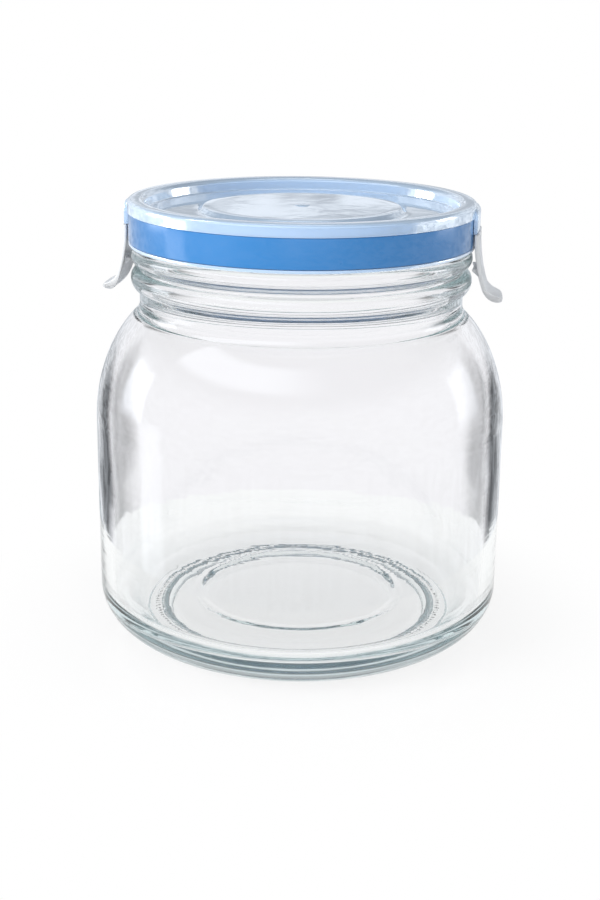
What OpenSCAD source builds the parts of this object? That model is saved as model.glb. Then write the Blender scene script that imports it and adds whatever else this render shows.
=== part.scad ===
// Glass storage jar with a clip-on plastic lid.
// Millimetres, +Z up. The origin is the centre of the ring that the jar stands on, and the
// two clips of the lid lie along X.

/* [Glass body] */
// Outside diameter of the body
body_d = 122; // [112:1:140]
// Thickness of the side wall
wall_t = 4.3; // [3:0.1:5.5]
// Height at which the straight wall ends and the shoulder begins
wall_top = 66; // [50:1:110]
// Radial reach of the heel curve that joins the wall to the foot
heel_reach = 18.5; // [16.5:0.5:19]
// Height of the heel curve
heel_h = 15; // [12:0.5:20]
// Outer radius of the flat ring that the jar stands on
foot_r = 46.5; // [45.5:0.5:48]
// Width of the flat ring that the jar stands on
foot_w = 4; // [2:0.5:6]
// Height of the inner floor above the table
floor_z = 10; // [8:0.5:13]
// Height of the hollow under the base
push_up = 4.2; // [2:0.2:6]
// Radius of the soft ring on the inner floor
floor_ring_r = 31; // [24:0.5:36]
// Radial reach of the shoulder curve
shoulder_reach = 27; // [24:0.5:32]
// Height of the full shoulder curve
shoulder_h = 38.5; // [32:0.5:46]

/* [Glass neck] */
// Outside radius of the neck between its beads
neck_r = 47.5; // [46:0.5:49]
// Thickness of the glass at the lip
lip_t = 3.7; // [3:0.1:4.5]
// How far the two beads stand out from the neck
bead_out = 2.45; // [2:0.05:3]
// Half the height of a bead
bead_h = 2.65; // [2.2:0.05:2.9]
// Rise from the waist of the neck to the lower bead
bead_rise = 7.3; // [6:0.1:9]
// Rise from the lower bead to the upper bead
bead_gap = 6.5; // [6.2:0.1:8]
// Rise from the upper bead to the rim of the mouth
lip_rise = 9.1; // [8:0.1:11]
// How far the lip above the beads is set in from the neck
lip_step = 0.6; // [0.4:0.1:1]

/* [Lid] */
// Thickness of the lid's flat panel
panel_t = 1.5; // [1.2:0.1:2]
// Height of the raised rim above the panel
rim_h = 3.6; // [3:0.1:5]
// Width of the raised rim
rim_w = 5.3; // [4.9:0.1:6]
// Radius of the raised disc in the middle of the panel
disc_r = 30.5; // [20:0.5:36]
// Thickness of the skirt behind the coloured band
skirt_t = 1.1; // [0.9:0.1:1.5]
// Thickness of the coloured band
band_t = 2; // [1.6:0.1:2.4]
// Thickness of the flange under the band
flange_t = 1; // [0.8:0.1:1.4]
// Depth of the locating ring that enters the mouth
plug_h = 4.8; // [4.4:0.2:8]
// Thickness of the seal
seal_t = 1.8; // [1.4:0.1:2.4]

/* [Clips] */
// Width of a clip
clip_w = 17; // [12:1:24]
// Thickness of the fixed root of a clip
root_t = 1.05; // [0.95:0.05:1.4]
// Thickness of the swinging flap
flap_t = 1.2; // [1:0.05:1.3]
// Width of the film hinge
film_w = 12; // [8:1:14]
// Drop from the top of the panel to the hinge
hinge_drop = 4.4; // [3.6:0.2:5]
// Height of the straighter part of the flap below its hook
flap_tail = 5.1; // [4.5:0.1:6.5]
// Width of the hook
hook_w = 12; // [8:1:14]
// Radius of the thick rounded edge of the finger end
finger_r = 1.35; // [1:0.05:1.6]

/* [Hidden] */
$fn = 120;

// One overrun serves every cut
over = 1;

// Clearances
seal_gap = 0.1;      // seal to the rim of the glass
fit_gap = 0.1;       // between pieces of the lid
skirt_gap = 0.4;     // skirt to the lip of the glass
rest_gap = 0.3;      // skirt to the upper bead
plug_gap = 0.8;      // locating ring to the mouth
pivot_gap = 0.06;    // running clearance of the film hinge
root_gap = 0.15;     // clip root to the coloured band
hook_side_gap = 0.3; // hook to the bead, with the clip let go

// Glass body
body_r = body_d / 2;
inner_r = body_r - wall_t;
heel_cx = body_r - heel_reach;
foot_edge = 0.4;
inner_heel_reach = 7;
inner_heel_h = 6;
push_ramp = 6;
dome_rise = 0.8;
dome_steps = 6;
floor_ring_h = 0.9;
floor_ring_w = 3.2;
shoulder_cx = body_r - shoulder_reach;
neck_blend = 1.5;

// Glass neck
lip_r = neck_r - lip_step;
bore_r = lip_r - lip_t;
mouth_round = 1.2;
bead_tail_share = 1.3; // depth of the lower bead's underside, of half its height
bead_tail = bead_h * bead_tail_share;

// Lid
plug_t = 1.2;
rim_wall = 1.3;
rim_flat = 2;
rim_round = 1.3;
rim_over_band = 0.2;
recess_draft = 0.4;
recess_depth = 2;
disc_step = 1.3;
disc_bevel = 2;
nub_r = 2.2;
nub_h = 0.35;
edge_round = 0.4;

// Clips
film_r = 0.5;
film_inset = 0.1;
notch_h = 0.15;
root_corner = 1.5;
root_top_drop = 0.8;
clip_corner = 2.5;
tongue_share = 0.45; // radius of the tongue's round end, of the clip's width
seat_over = 0.5;     // seat of the film hinge, past each end of the film
sweep_r = 48;
bend_r = 6.5;
bend_a = 50;
swell_share = 0.55;  // where the flap starts to thicken, along its centre line
hook_seat_share = 0.8; // level at which the hook seats, of half the bead's height
hook_h = 3.2;
hook_tip_h = 0.6;

// Points along an arc or a quarter of an ellipse
function arc_pts(c, rx, rz, a0, a1, n = 10) =
    [for (i = [0 : n]) let (a = a0 + (a1 - a0) * i / n) [c[0] + rx * cos(a), c[1] + rz * sin(a)]];

// A shoulder: an ellipse that rises from z0, then a hollow arc that ends upright on the neck line
function join_a(cx, rx, neck) = acos((neck + neck_blend - cx) / rx);
function join_slope(cx, rx, rz, neck) =
    let (a = join_a(cx, rx, neck)) atan2(rx * sin(a), rz * cos(a));
function join_r(cx, rx, rz, neck) = neck_blend / (1 - cos(join_slope(cx, rx, rz, neck)));
function join_z(cx, z0, rx, rz, neck) =
    z0 + rz * sin(join_a(cx, rx, neck)) + join_r(cx, rx, rz, neck) * sin(join_slope(cx, rx, rz, neck));
function shoulder_pts(cx, z0, rx, rz, neck) =
    let (
        slope = join_slope(cx, rx, rz, neck),
        r = join_r(cx, rx, rz, neck),
        z = join_z(cx, z0, rx, rz, neck)
    )
    concat(
        arc_pts([cx, z0], rx, rz, 0, join_a(cx, rx, neck), 16),
        arc_pts([neck + r, z], r, r, 180 + slope, 180, 6)
    );

// A bead on the neck, drawn upward
function bead_pts(z, below) = concat(
    arc_pts([neck_r, z], bead_out, below, -90, 0, 8),
    arc_pts([neck_r, z], bead_out, bead_h, 0, 90, 8)
);

// Heights up the jar and the lid
waist_z = join_z(shoulder_cx, wall_top, shoulder_reach, shoulder_h, neck_r);
low_bead_z = waist_z + bead_rise;
top_bead_z = low_bead_z + bead_gap;
mouth_z = top_bead_z + lip_rise;
panel_under = mouth_z + seal_gap + seal_t;
panel_top = panel_under + panel_t;
crest_z = panel_top + rim_h;
skirt_z = top_bead_z + bead_h + rest_gap;
flange_top = skirt_z + flange_t;

// Radii across the lid
skirt_in = lip_r + skirt_gap;
skirt_out = skirt_in + skirt_t;
band_r = skirt_out + fit_gap + band_t;
rim_r = band_r + rim_over_band;
rim_in = rim_r - rim_w;
recess_r = rim_in - recess_draft;
plug_out = bore_r - plug_gap;
hollow_in = rim_in + rim_wall;
hollow_out = rim_r - rim_wall;

// Places on the clips, for the clip on the +X side
root_in = band_r + root_gap;
root_out = root_in + root_t;
hinge_x = root_out - film_inset;
hinge_z = panel_top - hinge_drop;
flap_top = hinge_z - notch_h;
flap_out = hinge_x + film_r;
hook_z = top_bead_z - bead_h * hook_seat_share;
hook_x = neck_r + bead_out + hook_side_gap;
sweep_len = flap_top - hook_z + flap_tail;

// Outline of the glass, half of its section
function glass_pts() = concat(
    dome_pts(foot_r - foot_w - push_ramp, push_up),
    arc_pts([foot_r - foot_w - push_ramp, 0], push_ramp, push_up, 90, 0, 8),
    [[foot_r, 0]],
    arc_pts([heel_cx, heel_h], heel_reach, heel_h, -acos((foot_r + foot_edge - heel_cx) / heel_reach), 0, 18),
    shoulder_pts(shoulder_cx, wall_top, shoulder_reach, shoulder_h, neck_r),
    bead_pts(low_bead_z, bead_tail),
    bead_pts(top_bead_z, bead_h),
    [[lip_r, top_bead_z + bead_h]],
    arc_pts([lip_r - mouth_round, mouth_z - mouth_round], mouth_round, mouth_round, 0, 90, 5),
    arc_pts([bore_r + mouth_round, mouth_z - mouth_round], mouth_round, mouth_round, 90, 180, 5),
    inner_shoulder_pts(),
    arc_pts([inner_r - inner_heel_reach, floor_z + inner_heel_h], inner_heel_reach, inner_heel_h, 0, -90, 12),
    floor_ring_pts(),
    reversed(dome_pts(floor_ring_r - floor_ring_w / 2, floor_z))
);

// A shallow crown, drawn outward, up to but without its edge at radius r and height z
function dome_pts(r, z) = [
    for (i = [0 : dome_steps - 1]) let (s = i / dome_steps) [r * s, z + dome_rise * (1 - s * s)]
];

// Inside of the shoulder, drawn downward
function inner_shoulder_pts() =
    let (up = shoulder_pts(shoulder_cx, wall_top, shoulder_reach - wall_t, shoulder_h - wall_t, bore_r))
    [for (i = [len(up) - 1 : -1 : 0]) up[i]];

// The soft ring on the inner floor, drawn inward
function floor_ring_pts() = [
    for (i = [0 : 8]) let (s = i / 8)
        [floor_ring_r + floor_ring_w / 2 - floor_ring_w * s, floor_z + floor_ring_h * (1 - cos(360 * s)) / 2]
];

// Half of the lid cap's section
function cap_pts() = concat(
    [[0, panel_top + disc_step], [disc_r - disc_bevel, panel_top + disc_step], [disc_r, panel_top]],
    arc_pts([recess_r - edge_round, panel_top + edge_round], edge_round, edge_round, -90, 0, 4),
    arc_pts([rim_r - rim_round - rim_flat, panel_top + recess_depth],
        rim_r - rim_round - rim_flat - rim_in, rim_h - recess_depth, 180, 90, 8),
    arc_pts([rim_r - rim_round, crest_z - rim_round], rim_round, rim_round, 90, 0, 6),
    [
        [rim_r, panel_top],
        [hollow_out, panel_top],
        [hollow_out, crest_z - rim_wall],
        [hollow_in, crest_z - rim_wall],
        [hollow_in, panel_top],
        [skirt_out, panel_top],
        [skirt_out, flange_top],
        [band_r, flange_top]
    ],
    arc_pts([band_r - edge_round, skirt_z + edge_round], edge_round, edge_round, 0, -90, 4),
    [
        [skirt_in, skirt_z],
        [skirt_in, panel_under],
        [plug_out, panel_under]
    ],
    arc_pts([plug_out - edge_round, panel_under - plug_h + edge_round], edge_round, edge_round, 0, -90, 4),
    [
        [plug_out - plug_t, panel_under - plug_h],
        [plug_out - plug_t, panel_under],
        [disc_r, panel_under],
        [disc_r - disc_bevel, panel_under + disc_step],
        [0, panel_under + disc_step]
    ]
);

// Half of the coloured band's section, which fills the space between the flange and the rim
function band_pts() = [
    [skirt_out + fit_gap, flange_top + fit_gap],
    [band_r, flange_top + fit_gap],
    [band_r, panel_top - fit_gap],
    [skirt_out + fit_gap, panel_top - fit_gap]
];

// The centre line of a flap's section, as [radius, z, angle off the vertical], from the hinge to the finger end
sweep_cx = flap_out - flap_t / 2 + sweep_r;
function sweep_at(a) = [sweep_cx - sweep_r * cos(a), flap_top - sweep_r * sin(a), a];
sweep_end_a = asin(sweep_len / sweep_r);
bend_c = [
    sweep_at(sweep_end_a)[0] + bend_r * cos(sweep_end_a),
    sweep_at(sweep_end_a)[1] + bend_r * sin(sweep_end_a)
];
function bend_at(a) = [bend_c[0] - bend_r * cos(a), bend_c[1] - bend_r * sin(a), a];
flap_line = concat(
    [for (i = [0 : 8]) sweep_at(sweep_end_a * i / 8)],
    [for (i = [1 : 8]) bend_at(sweep_end_a + bend_a * i / 8)]
);
flap_last = len(flap_line) - 1;
finger = flap_line[flap_last];

// Half of the flap's thickness at a point of its centre line: it swells towards the finger end
function swell(i) =
    let (s = max(0, i / flap_last - swell_share) / (1 - swell_share))
    flap_t / 2 + (finger_r - flap_t / 2) * s * s * (3 - 2 * s);

// A face of the flap: the centre line moved sideways
function flap_side(side) = [
    for (i = [0 : flap_last]) let (p = flap_line[i], d = side * swell(i)) [p[0] + d * cos(p[2]), p[1] + d * sin(p[2])]
];

// Radius of the flap's centre line at a height above the bend
function flap_at(z) = sweep_cx - sweep_r * cos(asin((flap_top - z) / sweep_r));

function reversed(list) = [for (i = [len(list) - 1 : -1 : 0]) list[i]];

// A plate across X, from the axis outward, seen along X: its lower and upper corners are rounded
module corner_plate(w, z_low, z_high, r_low, r_high, reach) {
    rotate([90, 0, 90])
        linear_extrude(height = reach)
            union() {
                translate([-w / 2, z_low + r_low])
                    square([w, z_high - r_high - z_low - r_low]);
                translate([r_low - w / 2, z_low])
                    square([w - 2 * r_low, r_low]);
                translate([r_high - w / 2, z_high - r_high])
                    square([w - 2 * r_high, r_high]);
                for (side = [-1, 1]) {
                    translate([side * (w / 2 - r_low), z_low + r_low])
                        circle(r = r_low);
                    translate([side * (w / 2 - r_high), z_high - r_high])
                        circle(r = r_high);
                }
            }
}

// A straight round bead along Y at the hinge of the clip on the +X side
module hinge_bead(r, w) {
    translate([hinge_x, 0, hinge_z])
        rotate([90, 0, 0])
            cylinder(r = r, h = w, center = true);
}

module glass_jar() {
    color([0.78, 0.88, 0.88, 0.45])
        rotate_extrude()
            polygon(glass_pts());
}

// The fixed root of a clip on the +X side: it follows the rim round and holds the seat of the film hinge
module clip_root() {
    root_low = hinge_z + notch_h;
    root_high = crest_z - root_top_drop;
    difference() {
        intersection() {
            rotate_extrude()
                polygon(concat(
                    [[root_in, root_low], [root_out, root_low]],
                    arc_pts([root_out - root_corner, root_high - root_corner], root_corner, root_corner, 0, 90, 6),
                    [
                        [rim_r - rim_round, root_high],
                        [rim_r - rim_wall + fit_gap, root_high - root_corner],
                        [rim_r - rim_wall + fit_gap, panel_top],
                        [root_in, panel_top]
                    ]
                ));
            corner_plate(clip_w, root_low - clip_corner, root_high, clip_corner, clip_corner, root_out + over);
        }
        hinge_bead(film_r + pivot_gap, film_w + 2 * seat_over);
    }
}

module lid_cap() {
    color([0.86, 0.9, 0.95, 0.6])
        union() {
            rotate_extrude()
                polygon(cap_pts());
            translate([0, 0, panel_top + disc_step - nub_h])
                cylinder(r = nub_r, h = 2 * nub_h);
            for (turn = [0, 180])
                rotate([0, 0, turn])
                    clip_root();
        }
}

module colour_band() {
    color([0.36, 0.62, 0.88])
        rotate_extrude()
            polygon(band_pts());
}

// The seal has two soft ribs that meet the rim of the glass
module seal_ring() {
    seal_in = plug_out + fit_gap;
    seal_out = skirt_in - fit_gap;
    seal_mid = (seal_in + seal_out) / 2;
    seal_low = mouth_z + seal_gap;
    rib = (seal_out - seal_in) / 8;
    color([0.92, 0.93, 0.9])
        rotate_extrude()
            polygon([
                [seal_in, panel_under],
                [seal_in, seal_low + rib],
                [seal_in + rib, seal_low],
                [seal_mid - rib, seal_low],
                [seal_mid, seal_low + rib],
                [seal_mid + rib, seal_low],
                [seal_out - rib, seal_low],
                [seal_out, seal_low + rib],
                [seal_out, panel_under]
            ]);
}

// The swinging flap on the +X side: film hinge, curved leaf with a round tongue, and a hook that follows the bead
module clip_flap() {
    union() {
        intersection() {
            rotate_extrude()
                union() {
                    polygon(concat(flap_side(1), reversed(flap_side(-1))));
                    translate([finger[0], finger[1]])
                        circle(r = finger_r);
                }
            corner_plate(clip_w, finger[1] - finger_r, hinge_z + clip_corner, clip_w * tongue_share, clip_corner,
                finger[0] + finger_r + over);
        }
        hinge_bead(film_r, film_w);
        intersection() {
            rotate_extrude()
                polygon([
                    [hook_x, hook_z],
                    [hook_x, hook_z - hook_tip_h],
                    [flap_at(hook_z - hook_h), hook_z - hook_h],
                    [flap_at(hook_z), hook_z]
                ]);
            translate([0, -hook_w / 2, hook_z - hook_h - over])
                cube([flap_out + over, hook_w, hook_h + 2 * over]);
        }
    }
}

module left_clip() {
    color([0.9, 0.92, 0.95, 0.7])
        rotate([0, 0, 180])
            clip_flap();
}

module right_clip() {
    color([0.9, 0.92, 0.95, 0.7])
        clip_flap();
}

glass_jar();
lid_cap();
colour_band();
seal_ring();
left_clip();
right_clip();
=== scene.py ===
"""A glass storage jar with a clip-on plastic lid: finished surfaces, light and camera."""
import math

import bpy
from mathutils import Matrix, Vector, noise


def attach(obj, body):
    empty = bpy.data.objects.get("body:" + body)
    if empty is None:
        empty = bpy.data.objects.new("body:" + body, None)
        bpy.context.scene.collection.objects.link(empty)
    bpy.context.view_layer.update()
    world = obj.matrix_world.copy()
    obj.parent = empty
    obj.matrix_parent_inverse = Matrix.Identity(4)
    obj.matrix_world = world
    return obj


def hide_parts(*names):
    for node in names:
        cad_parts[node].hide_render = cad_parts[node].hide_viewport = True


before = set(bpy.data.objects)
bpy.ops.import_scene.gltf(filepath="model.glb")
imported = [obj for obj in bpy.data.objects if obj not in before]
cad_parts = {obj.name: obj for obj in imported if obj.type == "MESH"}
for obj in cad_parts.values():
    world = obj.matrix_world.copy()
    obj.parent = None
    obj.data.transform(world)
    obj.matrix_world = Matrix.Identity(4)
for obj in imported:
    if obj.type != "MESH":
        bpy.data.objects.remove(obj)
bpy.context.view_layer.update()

# Lengths are in millimetres, and the mesh makers turn them into metres
MM = 0.001

# Glass body
BODY_R = 61
WALL_T = 4.3
WALL_TOP = 66
HEEL_REACH = 18.5
HEEL_H = 15
FOOT_R = 46.5
FOOT_W = 4
FOOT_EDGE = 0.4
FLOOR_Z = 10
PUSH_UP = 4.2
PUSH_RAMP = 6
DOME_RISE = 0.8
FLOOR_RING_R = 31
FLOOR_RING_H = 0.35
FLOOR_RING_W = 4.6
INNER_HEEL_REACH = 7
INNER_HEEL_H = 6
SHOULDER_REACH = 27
SHOULDER_H = 38.5
NECK_BLEND = 1.5

# Glass neck
NECK_R = 47.5
LIP_T = 3.7
LIP_STEP = 0.6
LIP_R = NECK_R - LIP_STEP
BORE_R = LIP_R - LIP_T
BEAD_OUT = 2.45
BEAD_H = 2.65
BEAD_TAIL = 1.3 * BEAD_H
BEAD_RISE = 7.3
BEAD_GAP = 6.5
LIP_RISE = 9.1
MOUTH_ROUND = 1.2

# Grip marks on the ring that the jar stands on: every other step round it is cut in
KNURLS = 150
KNURL_W = 2.2
KNURL_H = 3
KNURL_DEPTH = 0.5
JAR_STEPS = 2 * KNURLS

# Unevenness of the moulded glass
INNER_WAVE = 0.12
OUTER_WAVE = 0.03
NECK_WAVE = 0.06
WAVE_SIZE = 17
LOWEST_WAVE_SHARE = 0.25
EVEN_FOOT_H = WAVE_SIZE / 3

# Points along the glass's curves and lines
SHOULDER_POINTS = 32
NECK_BLEND_POINTS = 10
BEAD_POINTS = 12
MOUTH_POINTS = 8
LIP_POINTS = 3
BORE_POINTS = 8
CROWN_POINTS = 10
PUSH_RAMP_POINTS = 14
FOOT_POINTS = 4
HEEL_POINTS = 30
WALL_POINTS = 14
INNER_HEEL_POINTS = 22
FLOOR_POINTS = 8
FLOOR_RING_POINTS = 16


def arc(centre, rx, rz, start, end, count):
    """Points along an arc, or part of an ellipse, with angles in degrees."""
    points = []
    for i in range(count + 1):
        a = math.radians(start + (end - start) * i / count)
        points.append((centre[0] + rx * math.cos(a), centre[1] + rz * math.sin(a)))
    return points


def line(start, end, count):
    """Points along a straight line, both ends included."""
    return [
        (start[0] + (end[0] - start[0]) * i / count, start[1] + (end[1] - start[1]) * i / count)
        for i in range(count + 1)
    ]


def step_up(r_out, r_in, z_low, rise, count):
    """A soft step between two heights, drawn inward."""
    return [
        (r_out + (r_in - r_out) * i / count, z_low + rise * (1 - math.cos(math.pi * i / count)) / 2)
        for i in range(count + 1)
    ]


def crown(r, z):
    """A shallow crown, drawn outward from the axis, up to but without its edge."""
    shares = [i / CROWN_POINTS for i in range(CROWN_POINTS)]
    return [(r * s, z + DOME_RISE * (1 - s ** 2)) for s in shares]


def shoulder(reach, height, neck):
    """An ellipse that rises from the wall, then a hollow arc that ends upright on the neck line."""
    centre_x = BODY_R - SHOULDER_REACH
    end = math.acos((neck + NECK_BLEND - centre_x) / reach)
    slope = math.degrees(math.atan2(reach * math.sin(end), height * math.cos(end)))
    blend_r = NECK_BLEND / (1 - math.cos(math.radians(slope)))
    top = WALL_TOP + height * math.sin(end) + blend_r * math.sin(math.radians(slope))
    return (
        arc((centre_x, WALL_TOP), reach, height, 0, math.degrees(end), SHOULDER_POINTS)
        + arc((neck + blend_r, top), blend_r, blend_r, 180 + slope, 180, NECK_BLEND_POINTS)
    )


WAIST_Z = shoulder(SHOULDER_REACH, SHOULDER_H, NECK_R)[-1][1]
LOW_BEAD_Z = WAIST_Z + BEAD_RISE
TOP_BEAD_Z = LOW_BEAD_Z + BEAD_GAP
MOUTH_Z = TOP_BEAD_Z + LIP_RISE


def bead(z, below):
    """A bead on the neck, drawn upward."""
    return (
        arc((NECK_R, z), BEAD_OUT, below, -90, 0, BEAD_POINTS)
        + arc((NECK_R, z), BEAD_OUT, BEAD_H, 0, 90, BEAD_POINTS)
    )


def jar_outline():
    """Half of the glass's section, from the axis under the base round to the axis on the
    inner floor. Each point is its radius, its height and how uneven the glass is there."""
    foot_in = FOOT_R - FOOT_W
    heel_x = BODY_R - HEEL_REACH
    heel_start = math.degrees(math.acos((FOOT_R + FOOT_EDGE - heel_x) / HEEL_REACH))
    outer = (
        crown(foot_in - PUSH_RAMP, PUSH_UP)
        + arc((foot_in - PUSH_RAMP, 0), PUSH_RAMP, PUSH_UP, 90, 0, PUSH_RAMP_POINTS)
        + line((foot_in, 0), (foot_in + KNURL_W, 0), FOOT_POINTS)[1:]
        + line((foot_in + KNURL_W, 0), (FOOT_R, 0), FOOT_POINTS)[1:]
        + [(FOOT_R, FOOT_EDGE)]
        + arc((heel_x, HEEL_H), HEEL_REACH, HEEL_H, -heel_start, 0, HEEL_POINTS)
        + line((BODY_R, HEEL_H), (BODY_R, WALL_TOP), WALL_POINTS)[1:-1]
        + shoulder(SHOULDER_REACH, SHOULDER_H, NECK_R)
    )
    round_z = MOUTH_Z - MOUTH_ROUND
    neck = (
        bead(LOW_BEAD_Z, BEAD_TAIL)
        + bead(TOP_BEAD_Z, BEAD_H)
        + line((LIP_R, TOP_BEAD_Z + BEAD_H), (LIP_R, round_z), LIP_POINTS)
        + arc((LIP_R - MOUTH_ROUND, round_z), MOUTH_ROUND, MOUTH_ROUND, 0, 90, MOUTH_POINTS)
        + arc((BORE_R + MOUTH_ROUND, round_z), MOUTH_ROUND, MOUTH_ROUND, 90, 180, MOUTH_POINTS)
    )
    inner_r = BODY_R - WALL_T
    inside_shoulder = shoulder(SHOULDER_REACH - WALL_T, SHOULDER_H - WALL_T, BORE_R)[::-1]
    heel_end = inner_r - INNER_HEEL_REACH
    heel_z = FLOOR_Z + INNER_HEEL_H
    ring_out = FLOOR_RING_R + FLOOR_RING_W / 2
    ring = [
        (ring_out - FLOOR_RING_W * s, FLOOR_Z + FLOOR_RING_H * (1 - math.cos(math.tau * s)) / 2)
        for s in [i / FLOOR_RING_POINTS for i in range(FLOOR_RING_POINTS + 1)]
    ]
    inner = (
        line((BORE_R, round_z), inside_shoulder[0], BORE_POINTS)[1:-1]
        + inside_shoulder
        + line((inner_r, WALL_TOP), (inner_r, heel_z), WALL_POINTS)[1:]
        + arc((heel_end, heel_z), INNER_HEEL_REACH, INNER_HEEL_H, 0, -90, INNER_HEEL_POINTS)[1:]
        + line((heel_end, FLOOR_Z), (ring_out, FLOOR_Z), FLOOR_POINTS)[1:-1]
        + ring
        + crown(FLOOR_RING_R - FLOOR_RING_W / 2, FLOOR_Z)[::-1]
    )
    return (
        [(r, z, OUTER_WAVE) for r, z in outer]
        + [(r, z, NECK_WAVE) for r, z in neck]
        + [(r, z, INNER_WAVE) for r, z in inner]
    )


def jar_surface(r, z, wave, step):
    """Where the glass really lies: uneven by a little, with grip marks on the foot."""
    a = math.tau * step / JAR_STEPS
    mark = KNURL_DEPTH * (step % 2)
    across = (r - FOOT_R + FOOT_W) / KNURL_W
    if z == 0 and 0 < across < 1:
        return r, mark * math.sin(math.pi * across)
    if z < KNURL_H and across <= 0:
        return r - mark * (1 - z / KNURL_H), z
    if z < EVEN_FOOT_H and r > FOOT_R - FOOT_W:
        return r, z
    place = Vector((r * math.cos(a), r * math.sin(a), z)) / WAVE_SIZE
    fade = min(1, (MOUTH_Z - z) / WAVE_SIZE) * min(1, r / WAVE_SIZE)
    fade *= min(1, LOWEST_WAVE_SHARE + z / BODY_R)
    sideways = noise.noise(place)
    upward = noise.noise(place + Vector((0, 0, BODY_R)))
    return r + wave * fade * sideways, z + wave * fade * upward


def lathe(name, outline, steps, surface=None, closed=False):
    """A solid of revolution about Z. Outline points are (radius, height), and what the
    surface function takes after that."""
    verts, rings = [], []
    for point in outline:
        if point[0] == 0:
            rings.append([len(verts)])
            verts.append((0, 0, point[1] * MM))
            continue
        ring = []
        for step in range(steps):
            r, z = surface(*point, step) if surface else point[:2]
            a = math.tau * step / steps
            ring.append(len(verts))
            verts.append((r * math.cos(a) * MM, r * math.sin(a) * MM, z * MM))
        rings.append(ring)
    following = rings[1:] + rings[:1] if closed else rings[1:]
    faces = []
    for low, high in zip(rings, following):
        for step in range(steps):
            after = (step + 1) % steps
            if len(low) == 1:
                faces.append((low[0], high[after], high[step]))
            elif len(high) == 1:
                faces.append((low[step], low[after], high[0]))
            else:
                faces.append((low[step], low[after], high[after], high[step]))
    return mesh_object(name, verts, faces)


def mesh_object(name, verts, faces):
    """A smooth-shaded mesh."""
    mesh = bpy.data.meshes.new(name)
    mesh.from_pydata(verts, [], faces)
    mesh.validate()
    mesh.polygons.foreach_set("use_smooth", [True] * len(mesh.polygons))
    obj = bpy.data.objects.new(name, mesh)
    bpy.context.scene.collection.objects.link(obj)
    return obj


def loft(loops):
    """Vertices and faces of a closed solid that passes through loops of equally many points."""
    count = len(loops[0])
    verts = [(x * MM, y * MM, z * MM) for loop in loops for x, y, z in loop]
    faces = []
    for low in range(0, len(verts) - count, count):
        high = low + count
        for k in range(count):
            after = (k + 1) % count
            faces.append((low + k, low + after, high + after, high + k))
    faces.append(tuple(range(count))[::-1])
    faces.append(tuple(range(len(verts) - count, len(verts))))
    return verts, faces


# Lid, in the same terms as the glass that it seats on
SEAL_GAP = 0.1
FIT_GAP = 0.1
SKIRT_GAP = 0.4
REST_GAP = 0.3
PLUG_GAP = 0.8
PANEL_T = 1.5
RIM_H = 3.6
RIM_W = 5.3
RIM_FLAT = 2
RIM_ROUND = 1.3
RIM_WALL = 1.3
RIM_OVER_BAND = 0.2
RECESS_DRAFT = 0.4
RECESS_DEPTH = 2
DISC_R = 30.5
DISC_STEP = 1.3
DISC_BEVEL = 2
NUB_R = 2.2
NUB_H = 0.35
SKIRT_T = 1.1
BAND_T = 2
FLANGE_T = 1
PLUG_H = 4.8
PLUG_T = 1.2
SEAL_T = 1.8
EDGE_ROUND = 0.4
BAND_ROUND = 0.25
RIB_W_SHARE = 0.9
RIB_VALLEY_SHARE = 0.7
LID_STEPS = 256

# Points along the lid's curves and lines
NUB_POINTS = 8
DISC_POINTS = 10
DISC_STEP_POINTS = 12
PANEL_POINTS = 8
RECESS_POINTS = 8
RIM_POINTS = 12
EDGE_POINTS = 6
RIB_POINTS = 10
CORNER_SHARES = (0, 0.25, 0.5, 0.75, 1)

PANEL_UNDER = MOUTH_Z + SEAL_GAP + SEAL_T
PANEL_TOP = PANEL_UNDER + PANEL_T
CREST_Z = PANEL_TOP + RIM_H
SKIRT_Z = TOP_BEAD_Z + BEAD_H + REST_GAP
FLANGE_TOP = SKIRT_Z + FLANGE_T
SKIRT_IN = LIP_R + SKIRT_GAP
SKIRT_OUT = SKIRT_IN + SKIRT_T
BAND_R = SKIRT_OUT + FIT_GAP + BAND_T
RIM_R = BAND_R + RIM_OVER_BAND
RIM_IN = RIM_R - RIM_W
RECESS_R = RIM_IN - RECESS_DRAFT
PLUG_OUT = BORE_R - PLUG_GAP


def cap_edge(r, z, start, end, height=EDGE_ROUND):
    """A small rounded edge of the clear lid."""
    return arc((r, z), EDGE_ROUND, height, start, end, EDGE_POINTS)


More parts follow.
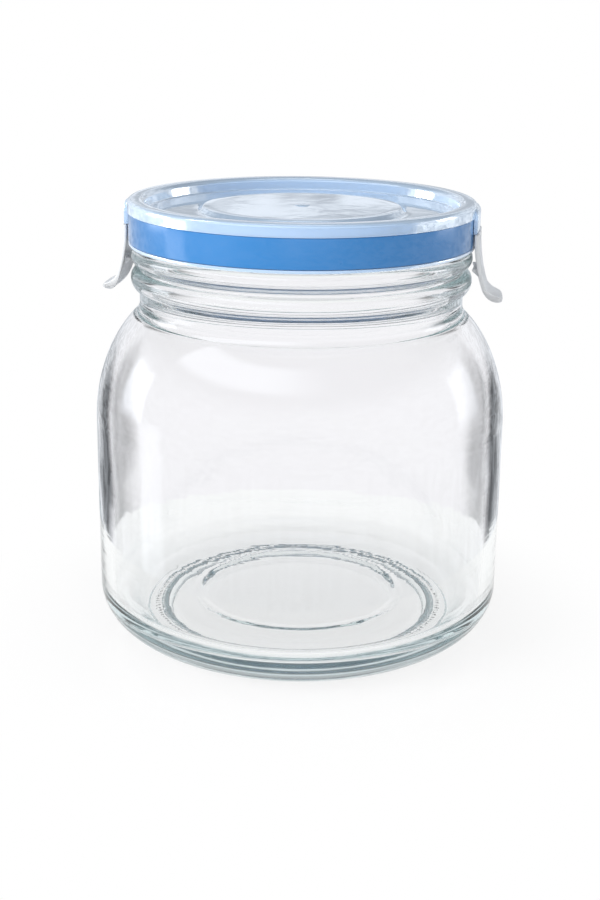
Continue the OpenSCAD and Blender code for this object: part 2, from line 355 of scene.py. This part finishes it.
def cap_outline():
    """Half of the clear lid's section."""
    disc_flat = DISC_R - DISC_BEVEL
    disc_top = PANEL_TOP + DISC_STEP
    lower = PANEL_TOP + EDGE_ROUND
    recess_edge = RECESS_R - EDGE_ROUND
    bow = RIM_R - RIM_ROUND - RIM_FLAT - RIM_IN
    crest_in = (RIM_IN + bow, PANEL_TOP + RECESS_DEPTH)
    crest_out = (RIM_R - RIM_ROUND, CREST_Z - RIM_ROUND)
    top = (
        [(0, disc_top + NUB_H)]
        + arc((0, disc_top), NUB_R, NUB_H, 80, 0, NUB_POINTS)
        + line((NUB_R, disc_top), (disc_flat, disc_top), DISC_POINTS)[1:-1]
        + step_up(DISC_R, disc_flat, PANEL_TOP, DISC_STEP, DISC_STEP_POINTS)[::-1]
        + line((DISC_R, PANEL_TOP), (recess_edge, PANEL_TOP), PANEL_POINTS)[1:-1]
        + arc((recess_edge, lower), EDGE_ROUND, EDGE_ROUND, -90, 0, RECESS_POINTS)
        + arc(crest_in, bow, RIM_H - RECESS_DEPTH, 180, 90, RIM_POINTS)
        + arc(crest_out, RIM_ROUND, RIM_ROUND, 90, 0, RIM_POINTS)
        + [(RIM_R, PANEL_TOP)]
    )
    hollow_z = CREST_Z - RIM_WALL - EDGE_ROUND
    hollow = (
        [(RIM_R - RIM_WALL, PANEL_TOP)]
        + cap_edge(RIM_R - RIM_WALL - EDGE_ROUND, hollow_z, 0, 90)
        + cap_edge(RIM_IN + RIM_WALL + EDGE_ROUND, hollow_z, 90, 180)
        + [(RIM_IN + RIM_WALL, PANEL_TOP)]
    )
    skirt = (
        [(SKIRT_OUT, PANEL_TOP), (SKIRT_OUT, FLANGE_TOP)]
        + cap_edge(BAND_R - EDGE_ROUND, FLANGE_TOP - EDGE_ROUND / 2, 90, 0, EDGE_ROUND / 2)
        + cap_edge(BAND_R - EDGE_ROUND, SKIRT_Z + EDGE_ROUND, 0, -90)
        + [(SKIRT_IN, SKIRT_Z), (SKIRT_IN, PANEL_UNDER), (PLUG_OUT, PANEL_UNDER)]
    )
    plug_end = PANEL_UNDER - PLUG_H
    under = (
        cap_edge(PLUG_OUT - EDGE_ROUND, plug_end + EDGE_ROUND, 0, -90)
        + [(PLUG_OUT - PLUG_T, plug_end), (PLUG_OUT - PLUG_T, PANEL_UNDER)]
        + step_up(DISC_R, disc_flat, PANEL_UNDER, DISC_STEP, DISC_STEP_POINTS)
        + [(0, PANEL_UNDER + DISC_STEP)]
    )
    return top + hollow + skirt + under


def rounded_loop(points, radius):
    """A closed outline with every corner rounded, for outlines that turn one way."""
    rounded = []
    for i, here in enumerate(points):
        before = Vector(points[i - 1])
        after = Vector(points[(i + 1) % len(points)])
        corner = Vector(here)
        start = corner + (before - corner).normalized() * radius
        end = corner + (after - corner).normalized() * radius
        for s in CORNER_SHARES:
            rounded.append(tuple(start * (1 - s) ** 2 + corner * 2 * s * (1 - s) + end * s ** 2))
    return rounded


def band_outline():
    """The coloured band's section."""
    band_in = SKIRT_OUT + FIT_GAP
    low = FLANGE_TOP + FIT_GAP
    high = PANEL_TOP - FIT_GAP
    corners = [(band_in, low), (BAND_R, low), (BAND_R, high), (band_in, high)]
    return rounded_loop(corners, BAND_ROUND)


def seal_outline():
    """The seal's section, with two soft ribs towards the glass."""
    inside = PLUG_OUT + FIT_GAP
    outside = SKIRT_IN - FIT_GAP
    middle = (inside + outside) / 2
    low = MOUTH_Z + SEAL_GAP
    rib_w = (outside - inside) / 4
    inner_rib, outer_rib = (
        arc((centre, low + rib_w / 2), rib_w * RIB_W_SHARE, rib_w / 2, 180, 360, RIB_POINTS)
        for centre in (inside + rib_w, outside - rib_w)
    )
    valley = [(middle, low + rib_w * RIB_VALLEY_SHARE)]
    return [(inside, PANEL_UNDER)] + inner_rib + valley + outer_rib + [(outside, PANEL_UNDER)]


# Clips
CLIP_W = 17
ROOT_T = 1.05
FLAP_T = 1.2
FILM_W = 12
HINGE_DROP = 4.4
FLAP_TAIL = 5.1
HOOK_W = 12
HOOK_H = 3.2
HOOK_TIP_H = 0.6
HOOK_SEAT_SHARE = 0.8
HOOK_SIDE_GAP = 0.3
FINGER_R = 1.35
FILM_R = 0.5
FILM_INSET = 0.1
PIVOT_GAP = 0.06
SEAT_OVER = 0.5
NOTCH_H = 0.15
ROOT_CORNER = 1.5
ROOT_EDGE = 0.2
ROOT_TOP_DROP = 0.8
CLIP_CORNER = 2.5
ROOT_GAP = 0.15
SWEEP_R = 48
BEND_R = 6.5
BEND_A = 50
SWELL_SHARE = 0.55
TONGUE_R = 0.45 * CLIP_W
LEAF_SQUARENESS = 12
LEAF_LEAST_HALF = 0.1
CLIP_VOXEL = 0.16
CLIP_SOFTENING = 4
ROOT_SHARP = math.radians(40)

# Points along the clips' curves
SWEEP_POINTS = 24
BEND_POINTS = 16
LEAF_POINTS = 22
HOOK_POINTS = 8
FILM_POINTS = 24
ROOT_POINTS = 32
ROOT_CORNER_POINTS = 10
FINGER_TURNS = (20, 40, 58, 72, 83)

ROOT_IN = BAND_R + ROOT_GAP
ROOT_OUT = ROOT_IN + ROOT_T
HINGE_X = ROOT_OUT - FILM_INSET
HINGE_Z = PANEL_TOP - HINGE_DROP
FLAP_TOP = HINGE_Z - NOTCH_H
FLAP_X = HINGE_X + FILM_R - FLAP_T / 2
HOOK_Z = TOP_BEAD_Z - BEAD_H * HOOK_SEAT_SHARE
HOOK_X = NECK_R + BEAD_OUT + HOOK_SIDE_GAP
SWEEP_END = math.asin((FLAP_TOP - HOOK_Z + FLAP_TAIL) / SWEEP_R)


def round_axis(r, y, z):
    """A point of a section at radius r, carried round the jar's axis to y off its middle."""
    return math.sqrt(r * r - y * y), y, z


def flap_line():
    """The centre line of the flap's section, from the hinge to the finger end: radius,
    height and angle off the vertical."""
    points = []
    for i in range(SWEEP_POINTS + 1):
        a = SWEEP_END * i / SWEEP_POINTS
        points.append((FLAP_X + SWEEP_R * (1 - math.cos(a)), FLAP_TOP - SWEEP_R * math.sin(a), a))
    r, z, leaning = points[-1]
    centre = r + BEND_R * math.cos(leaning), z + BEND_R * math.sin(leaning)
    for i in range(1, BEND_POINTS + 1):
        a = leaning + math.radians(BEND_A) * i / BEND_POINTS
        points.append((centre[0] - BEND_R * math.cos(a), centre[1] - BEND_R * math.sin(a), a))
    return points


FLAP_LINE = flap_line()
TONGUE_END_Z = FLAP_LINE[-1][1] - FINGER_R


def tongue_half(z):
    """Half the flap's width at a height: its lower end is round."""
    below = min(TONGUE_R, max(0, TONGUE_END_Z + TONGUE_R - z))
    return CLIP_W / 2 - TONGUE_R + math.sqrt(TONGUE_R ** 2 - below ** 2)


def leaf_loop(r, z, a, half_t, trim=0):
    """A soft-edged section across the flap, square to its centre line and curved as the rim is."""
    loop = []
    for face in (1, -1):
        for i in range(LEAF_POINTS):
            along = math.sin(math.pi * (i / LEAF_POINTS - 0.5)) * face
            d = face * half_t * (1 - abs(along) ** LEAF_SQUARENESS) ** (1 / LEAF_SQUARENESS)
            y = along * max(LEAF_LEAST_HALF, tongue_half(z + d * math.sin(a)) - trim)
            loop.append(round_axis(r + d * math.cos(a), y, z + d * math.sin(a)))
    return loop


def leaf_mesh():
    """The flap's leaf, which swells to a thick round edge at its finger end."""
    loops = []
    for i, (r, z, a) in enumerate(FLAP_LINE):
        s = max(0, i / (len(FLAP_LINE) - 1) - SWELL_SHARE) / (1 - SWELL_SHARE)
        swell = s * s * (3 - 2 * s)
        loops.append(leaf_loop(r, z, a, FLAP_T / 2 + (FINGER_R - FLAP_T / 2) * swell))
    end_r, end_z, a = FLAP_LINE[-1]
    for turn in FINGER_TURNS:
        t = math.radians(turn)
        out = FINGER_R * math.sin(t)
        trim = FINGER_R * (1 - math.cos(t))
        r, z = end_r + out * math.sin(a), end_z - out * math.cos(a)
        loops.append(leaf_loop(r, z, a, FINGER_R * math.cos(t), trim))
    return loft(loops)


def hook_mesh():
    """The hook, a wedge that follows the bead round."""
    section = [(HOOK_X, HOOK_Z), (HOOK_X, HOOK_Z - HOOK_TIP_H)]
    for level in (HOOK_Z - HOOK_H, HOOK_Z):
        flap_r = [r for r, z, a in FLAP_LINE if z >= level][-1]
        section.append((flap_r, level))
    ys = [HOOK_W * (i / HOOK_POINTS - 0.5) for i in range(HOOK_POINTS + 1)]
    return loft([[round_axis(r, y, z) for r, z in section] for y in ys])


def bead_mesh():
    """The film hinge, a straight round bead."""
    ring = arc((HINGE_X, HINGE_Z), FILM_R, FILM_R, 0, 360, FILM_POINTS)[:-1]
    return loft([[(x, y, z) for x, z in ring] for y in (-FILM_W / 2, FILM_W / 2)])


def root_mesh():
    """The fixed root of the +X clip, which grows out of the rim and holds the hinge's seat."""
    low = HINGE_Z + NOTCH_H
    high = CREST_Z - ROOT_TOP_DROP
    seat_half = FILM_W / 2 + SEAT_OVER
    seat_low = HINGE_Z + FILM_R + PIVOT_GAP
    rim_x = RIM_R - RIM_WALL / 2
    shares = [i / ROOT_POINTS - 0.5 for i in range(ROOT_POINTS + 1)]
    ys = [CLIP_W / 2 * math.sin(math.pi * share) for share in shares]
    places = [(y, seat_low if abs(y) < seat_half else low) for y in ys]
    places += [(side * seat_half, level) for side in (-1, 1) for level in (low, seat_low)]
    places.sort(key=lambda p: (p[0], -p[1] if p[0] > 0 else p[1]))
    loops = []
    for y, bottom in places:
        inward = max(0, abs(y) - (CLIP_W / 2 - CLIP_CORNER))
        top = high - CLIP_CORNER + math.sqrt(max(0, CLIP_CORNER ** 2 - inward ** 2))
        corner = (ROOT_OUT - ROOT_CORNER, top - ROOT_CORNER)
        section = [(ROOT_IN, bottom)]
        section += [(ROOT_OUT - ROOT_EDGE, bottom), (ROOT_OUT, bottom + ROOT_EDGE)]
        section += arc(corner, ROOT_CORNER, ROOT_CORNER, 0, 90, ROOT_CORNER_POINTS)
        section += [(rim_x, top - ROOT_CORNER), (rim_x, PANEL_TOP), (ROOT_IN, PANEL_TOP)]
        loops.append([round_axis(r, y, z) for r, z in section])
    return loft(loops)


def joined(*parts):
    """The vertices and faces of several solids as one list."""
    verts, faces = [], []
    for part_verts, part_faces in parts:
        shift = len(verts)
        verts += part_verts
        faces += [tuple(v + shift for v in face) for face in part_faces]
    return verts, faces


def turned(verts, side):
    """The clip on the other side is the same one, turned half round."""
    return [(side * x, side * y, z) for x, y, z in verts]


def applied(obj):
    """Gives an object the mesh that its modifiers make."""
    bpy.context.view_layer.update()
    done = bpy.data.meshes.new_from_object(obj.evaluated_get(bpy.context.evaluated_depsgraph_get()))
    obj.modifiers.clear()
    obj.data = done
    obj.data.polygons.foreach_set("use_smooth", [True] * len(obj.data.polygons))
    return obj


def merge(obj, other):
    """Grows a solid into the one that carries it, with nothing left between them."""
    join = obj.modifiers.new("join", "BOOLEAN")
    join.operation = "UNION"
    join.solver = "MANIFOLD"
    join.object = other
    applied(obj)
    bpy.data.objects.remove(other)


def shaped(obj):
    """Melts a clip's parts into one moulded form with soft inner corners."""
    melt = obj.modifiers.new("melt", "REMESH")
    melt.mode = "VOXEL"
    melt.voxel_size = CLIP_VOXEL * MM
    melt.use_smooth_shade = True
    soften = obj.modifiers.new("soften", "SMOOTH")
    soften.iterations = CLIP_SOFTENING
    return applied(obj)


class Nodes:
    """A short way to write a node tree."""

    def __init__(self, tree):
        self.tree = tree
        tree.nodes.clear()

    def add(self, kind, **values):
        node = self.tree.nodes.new(kind)
        for key, value in values.items():
            setattr(node, key, value)
        return node

    def link(self, out, into):
        self.tree.links.new(out, into)

    def math(self, operation, *values):
        node = self.add("ShaderNodeMath", operation=operation)
        for socket, value in zip(node.inputs, values):
            if isinstance(value, (int, float)):
                socket.default_value = value
            else:
                self.link(value, socket)
        return node.outputs[0]

    def product(self, first, *others):
        for other in others:
            first = self.math("MULTIPLY", first, other)
        return first

    def noise(self, scale, detail, distortion=0, stretch=(1, 1, 1), source="Object"):
        """Noise that is fixed to the piece, or to the studio."""
        place = self.add("ShaderNodeTexCoord")
        shape = self.add("ShaderNodeMapping")
        shape.inputs["Scale"].default_value = stretch
        self.link(place.outputs[source], shape.inputs["Vector"])
        node = self.add("ShaderNodeTexNoise")
        node.inputs["Scale"].default_value = scale
        node.inputs["Detail"].default_value = detail
        node.inputs["Distortion"].default_value = distortion
        self.link(shape.outputs["Vector"], node.inputs["Vector"])
        return node.outputs["Fac"]

    def ease(self, value, start, end):
        """Goes softly from 0 at the start to 1 at the end."""
        node = self.add("ShaderNodeMapRange", interpolation_type="SMOOTHSTEP")
        node.inputs["From Min"].default_value = start
        node.inputs["From Max"].default_value = end
        self.link(value, node.inputs["Value"])
        return node.outputs["Result"]

    def spread(self, value, low, high):
        """Maps 0..1 to a range."""
        node = self.add("ShaderNodeMapRange")
        node.inputs["To Min"].default_value = low
        node.inputs["To Max"].default_value = high
        self.link(value, node.inputs["Value"])
        return node.outputs["Result"]

    def hue(self, factor, *colors):
        """Goes from one colour to another."""
        node = self.add("ShaderNodeMix", data_type="RGBA")
        self.link(factor, node.inputs["Factor"])
        for socket, color in zip((node.inputs["A"], node.inputs["B"]), colors):
            if isinstance(color, tuple):
                socket.default_value = color
            else:
                self.link(color, socket)
        return node.outputs["Result"]

    def bump(self, height, strength, distance):
        node = self.add("ShaderNodeBump")
        node.inputs["Strength"].default_value = strength
        node.inputs["Distance"].default_value = distance
        self.link(height, node.inputs["Height"])
        return node.outputs["Normal"]


def material(name):
    """A new material, its node helper, its main shader and its output."""
    made = bpy.data.materials.new(name)
    made.use_nodes = True
    nodes = Nodes(made.node_tree)
    shader = nodes.add("ShaderNodeBsdfPrincipled")
    output = nodes.add("ShaderNodeOutputMaterial")
    nodes.link(shader.outputs[0], output.inputs["Surface"])
    return made, nodes, shader, output


# Plastic's gloss varies with a fine grain, and its surface with a broader one
PLASTIC_IOR = 1.49
COAT_ROUGHNESS = 0.03
GLOSS_GRAIN = {"scale": 600, "detail": 4}
GLOSS_LOW = 0.8
GLOSS_HIGH = 1.25
SURFACE_GRAIN = {"scale": 70, "detail": 3, "distortion": 0.6}
SURFACE_GRAIN_H = 0.0005

# Glass has flat-lying ripples and takes on colour with its thickness
GLASS_IOR = 1.52
GLASS_TINT = (0.3, 0.58, 0.6, 1)
GLASS_TINT_DENSITY = 5
RIPPLE = {"scale": 1, "detail": 3, "stretch": (25, 25, 420)}
RIPPLE_STRENGTH = 0.05
RIPPLE_H = 0.0004


def plastic(name, color, see_through, roughness, coat=0.0, grain=0.02, shine=0.5):
    """Moulded plastic: a little uneven, with a fine grain in its gloss."""
    made, nodes, shader, _ = material(name)
    shader.inputs["Specular IOR Level"].default_value = shine
    shader.inputs["Base Color"].default_value = (*color, 1)
    shader.inputs["Transmission Weight"].default_value = see_through
    shader.inputs["IOR"].default_value = PLASTIC_IOR
    shader.inputs["Coat Weight"].default_value = coat
    shader.inputs["Coat Roughness"].default_value = COAT_ROUGHNESS
    gloss = nodes.spread(nodes.noise(**GLOSS_GRAIN), roughness * GLOSS_LOW, roughness * GLOSS_HIGH)
    nodes.link(gloss, shader.inputs["Roughness"])
    surface = nodes.bump(nodes.noise(**SURFACE_GRAIN), grain, SURFACE_GRAIN_H)
    nodes.link(surface, shader.inputs["Normal"])
    return made


def glass():
    """Clear soda-lime glass with a faint green body and a fire-polished surface."""
    made, nodes, shader, output = material("clear_glass")
    shader.inputs["Base Color"].default_value = (1, 1, 1, 1)
    shader.inputs["Transmission Weight"].default_value = 1
    shader.inputs["Roughness"].default_value = 0
    shader.inputs["IOR"].default_value = GLASS_IOR
    surface = nodes.bump(nodes.noise(**RIPPLE), RIPPLE_STRENGTH, RIPPLE_H)
    nodes.link(surface, shader.inputs["Normal"])
    depth = nodes.add("ShaderNodeVolumeAbsorption")
    depth.inputs["Color"].default_value = GLASS_TINT
    depth.inputs["Density"].default_value = GLASS_TINT_DENSITY
    nodes.link(depth.outputs[0], output.inputs["Volume"])
    return made


def dress(obj, body, finish):
    """Gives a piece its finish and the body that it moves with."""
    obj.data.materials.clear()
    obj.data.materials.append(finish)
    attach(obj, body)


# Finishes
CLEAR_GLASS = glass()
CLEAR_PLASTIC = plastic(
    "clear_plastic", (0.58, 0.765, 1), see_through=0.58, roughness=0.035, coat=0.3, grain=0.1
)
BLUE_PLASTIC = plastic(
    "blue_plastic", (0.014, 0.137, 0.36), see_through=0, roughness=0.3, coat=0.9, shine=0.6
)
CLIP_PLASTIC = plastic(
    "clip_plastic", (0.88, 0.9, 0.92), see_through=0.45, roughness=0.3, coat=0.3
)
SILICONE = plastic("silicone", (0.85, 0.87, 0.88), see_through=0.35, roughness=0.45)

jar = lathe("jar_glass", jar_outline(), JAR_STEPS, jar_surface)
dress(jar, "jar", CLEAR_GLASS)
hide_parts("glass_jar")

cap = lathe("lid_shell", cap_outline(), LID_STEPS)
for side in (-1, 1):
    root_verts, root_faces = root_mesh()
    merge(cap, mesh_object("root", turned(root_verts, side), root_faces))
cap.data.set_sharp_from_angle(angle=ROOT_SHARP)
dress(cap, "lid", CLEAR_PLASTIC)
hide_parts("lid_cap")

band = lathe("lid_band", band_outline(), LID_STEPS, closed=True)
dress(band, "lid", BLUE_PLASTIC)
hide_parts("colour_band")

seal = lathe("lid_seal", seal_outline(), LID_STEPS, closed=True)
dress(seal, "lid", SILICONE)
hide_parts("seal_ring")

for side, which in ((-1, "left"), (1, "right")):
    flap_verts, flap_faces = joined(leaf_mesh(), hook_mesh(), bead_mesh())
    flap = shaped(mesh_object(which + "_pull_tab", turned(flap_verts, side), flap_faces))
    dress(flap, which + "_tab", CLIP_PLASTIC)
    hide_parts(which + "_clip")

# Camera, set where the photograph was taken from, with its distance and height in metres
CAMERA_TURN = math.radians(7)
CAMERA_FAR = 0.4401
CAMERA_HIGH = 0.192
CAMERA_DOWN = math.radians(17.34)
CAMERA_ROLL = 0.0116
CAMERA_LENS = 60.38
CAMERA_SHIFT = 0.00067


def make_camera():
    data = bpy.data.cameras.new("camera")
    data.lens = CAMERA_LENS
    data.shift_x = CAMERA_SHIFT
    obj = bpy.data.objects.new("camera", data)
    bpy.context.scene.collection.objects.link(obj)
    across, along = math.sin(CAMERA_TURN) * CAMERA_FAR, math.cos(CAMERA_TURN) * CAMERA_FAR
    place = Vector((across, -along, CAMERA_HIGH))
    aim = (
        Matrix.Rotation(CAMERA_TURN, 4, "Z")
        @ Matrix.Rotation(math.pi / 2 - CAMERA_DOWN, 4, "X")
        @ Matrix.Rotation(CAMERA_ROLL, 4, "Z")
    )
    obj.matrix_world = Matrix.Translation(place) @ aim
    bpy.context.scene.camera = obj


# Floor
FLOOR_R = 125
FLOOR_LEVEL = -0.02
FLOOR_RINGS = 12
FLOOR_STEPS = 96
FLOOR_COLOR = (0.93, 0.93, 0.94, 1)
FLOOR_ROUGHNESS = 0.06
FLOOR_GLOW = 0.82
FADE_FROM = 0.4 * FLOOR_R * MM
FADE_TO = 0.9 * FLOOR_R * MM


def make_floor():
    """A white disc that keeps the jar's soft shadow and fades into the white around it."""
    outline = line((0, FLOOR_LEVEL), (FLOOR_R, FLOOR_LEVEL), FLOOR_RINGS)
    floor = lathe("floor", outline, FLOOR_STEPS)
    made, nodes, shader, output = material("floor")
    shader.inputs["Base Color"].default_value = FLOOR_COLOR
    shader.inputs["Roughness"].default_value = FLOOR_ROUGHNESS
    glow = nodes.add("ShaderNodeEmission")
    glow.inputs["Strength"].default_value = 1
    place = nodes.add("ShaderNodeTexCoord")
    length = nodes.add("ShaderNodeVectorMath", operation="LENGTH")
    nodes.link(place.outputs["Object"], length.inputs[0])
    fade = nodes.ease(length.outputs["Value"], FADE_FROM, FADE_TO)
    mix = nodes.add("ShaderNodeMixShader")
    nodes.link(nodes.spread(fade, FLOOR_GLOW, 1), mix.inputs["Fac"])
    nodes.link(shader.outputs[0], mix.inputs[1])
    nodes.link(glow.outputs[0], mix.inputs[2])
    nodes.link(mix.outputs[0], output.inputs["Surface"])
    floor.data.materials.append(made)


# The studio around the jar. Heights are in degrees above the horizon: where a form starts, is
# full, is still full and ends. Ahead is the cosine of the turn away from the view into the picture.
AMBIENT = 0.52
STUDIO_TURN = math.radians(7)
STRIP_OFF = math.radians(30)
STRIP_HALF = math.radians(18)
STRIP_CORE = math.radians(4)
STRIP_HEIGHTS = (-28, -22, -10, -2)
CEILING_LEVEL = 0.2
CEILING_HEIGHTS = (10, 38, 62, 88)
LEFT_EDGE = (-0.2, 0.2)
LEFT_BOX_LEVEL = 3.5
RIGHT_BOX_LEVEL = 2
SIDE_BOX_AHEAD = (0.08, 0.16, 0.4, 0.5)
SIDE_BOX_HEIGHTS = (-8, -1, 14, 22)
HIGH_BOX_LEVEL = 2.5
HIGH_BOX_LEFT_EDGE = (-0.5, 0.5)
HIGH_BOX_AHEAD_EDGE = (0.1, -0.02)
HIGH_BOX_HEIGHTS = (30, 38, 52, 60)
LOW_BOX_LEVEL = 1.4
LOW_BOX_AHEAD = (-0.2, -0.1, 0.1, 0.2)
LOW_BOX_HEIGHTS = (-26, -20, -8, 0)

# What the studio looks like in a mirror, and through the glass
MIRROR_LEVEL = 0.8
MIRROR_HUE = (0.88, 0.93, 1, 1)
THROUGH_HUE = (0.962, 0.945, 0.97, 1)
CLOUDS = {"scale": 8, "detail": 3, "distortion": 1.5, "stretch": (1, 1, 3), "source": "Generated"}
CLOUD_EDGE = (0.38, 0.62)
CLOUD_LOW = 0.6
CLOUD_HIGH = 1.25
WHITE = (1, 1, 1, 1)


def make_world():
    """White to the eye and an even light on every surface. Clear pieces also show two soft dark
    strips behind the jar, and shiny ones show light boxes and clouds. Both show a grey ceiling."""
    world = bpy.data.worlds.new("studio")
    world.use_nodes = True
    bpy.context.scene.world = world
    nodes = Nodes(world.node_tree)
    place = nodes.add("ShaderNodeTexCoord")
    parts = nodes.add("ShaderNodeSeparateXYZ")
    nodes.link(place.outputs["Generated"], parts.inputs[0])
    turn = nodes.math("ARCTAN2", parts.outputs["Y"], parts.outputs["X"])
    turn = nodes.math("SUBTRACT", turn, STUDIO_TURN + math.pi / 2)
    up = nodes.product(nodes.math("ARCSINE", parts.outputs["Z"]), math.degrees(1))
    ahead = nodes.math("COSINE", turn)
    leftward = nodes.math("SINE", turn)

    def between(value, start, full, still_full, end):
        return nodes.product(nodes.ease(value, start, full), nodes.ease(value, end, still_full))

    off_strip = nodes.math("SUBTRACT", nodes.math("ARCCOSINE", ahead), STRIP_OFF)
    strip = nodes.ease(nodes.math("ABSOLUTE", off_strip), STRIP_HALF, STRIP_CORE)
    strip = nodes.product(strip, between(up, *STRIP_HEIGHTS))
    ceiling = nodes.product(between(up, *CEILING_HEIGHTS), 1 - CEILING_LEVEL)

    left = nodes.ease(leftward, *LEFT_EDGE)
    side_boxes = nodes.product(
        between(ahead, *SIDE_BOX_AHEAD),
        between(up, *SIDE_BOX_HEIGHTS),
        nodes.spread(left, RIGHT_BOX_LEVEL, LEFT_BOX_LEVEL),
    )
    high_box = nodes.product(
        nodes.ease(leftward, *HIGH_BOX_LEFT_EDGE),
        nodes.ease(ahead, *HIGH_BOX_AHEAD_EDGE),
        between(up, *HIGH_BOX_HEIGHTS),
        HIGH_BOX_LEVEL,
    )
    low_box = nodes.product(
        between(ahead, *LOW_BOX_AHEAD), between(up, *LOW_BOX_HEIGHTS), left, LOW_BOX_LEVEL
    )
    boxes = nodes.math("ADD", nodes.math("ADD", side_boxes, high_box), low_box)

    ray = nodes.add("ShaderNodeLightPath")
    through = ray.outputs["Is Transmission Ray"]
    glossy = nodes.math("MAXIMUM", ray.outputs["Is Glossy Ray"], through)
    mirrored = nodes.math("SUBTRACT", glossy, through)
    dark = nodes.math(
        "MAXIMUM", nodes.product(strip, through), nodes.product(mirrored, 1 - MIRROR_LEVEL)
    )
    dark = nodes.math("MAXIMUM", dark, ceiling)
    cloudy = nodes.spread(nodes.ease(nodes.noise(**CLOUDS), *CLOUD_EDGE), CLOUD_LOW, CLOUD_HIGH)
    cloudy = nodes.math("ADD", through, nodes.product(mirrored, cloudy))
    shown = nodes.product(cloudy, nodes.math("SUBTRACT", 1, dark))
    shown = nodes.math("ADD", shown, nodes.product(boxes, mirrored))
    plain = nodes.product(nodes.math("SUBTRACT", 1, glossy), AMBIENT)
    strength = nodes.math("MAXIMUM", nodes.math("ADD", shown, plain), ray.outputs["Is Camera Ray"])

    background = nodes.add("ShaderNodeBackground")
    hue = nodes.hue(mirrored, nodes.hue(through, WHITE, THROUGH_HUE), MIRROR_HUE)
    nodes.link(hue, background.inputs["Color"])
    nodes.link(strength, background.inputs["Strength"])
    output = nodes.add("ShaderNodeOutputWorld")
    nodes.link(background.outputs[0], output.inputs["Surface"])


# Soft boxes: name, place, width and height in metres, and watts
LAMPS = (
    ("left_soft_box", (-0.6, -0.53, 0.25), (0.45, 0.8), 9.5),
    ("right_soft_box", (0.85, 0.03, 0.25), (0.35, 0.7), 2),
    ("front_soft_box", (0.2, -0.83, 0.3), (0.6, 0.6), 4.4),
)


def make_light(name, place, size, power):
    """A soft box that faces the jar's middle."""
    data = bpy.data.lights.new(name, "AREA")
    data.shape = "RECTANGLE"
    data.size, data.size_y = size
    data.energy = power
    obj = bpy.data.objects.new(name, data)
    bpy.context.scene.collection.objects.link(obj)
    target = Vector((0, 0, (MOUTH_Z / 2) * MM))
    obj.location = place
    obj.rotation_euler = (target - Vector(place)).to_track_quat("-Z", "Y").to_euler()
    obj.visible_glossy = False
    obj.visible_transmission = False


make_camera()
make_floor()
make_world()
for lamp in LAMPS:
    make_light(*lamp)

# The walls, the lid and the base lie one behind another, so light passes many surfaces
scene = bpy.context.scene
scene.view_settings.view_transform = "Standard"
scene.cycles.sample_clamp_indirect = 2
scene.cycles.max_bounces = 40
scene.cycles.transmission_bounces = 32
scene.cycles.glossy_bounces = 32
scene.cycles.transparent_max_bounces = 16
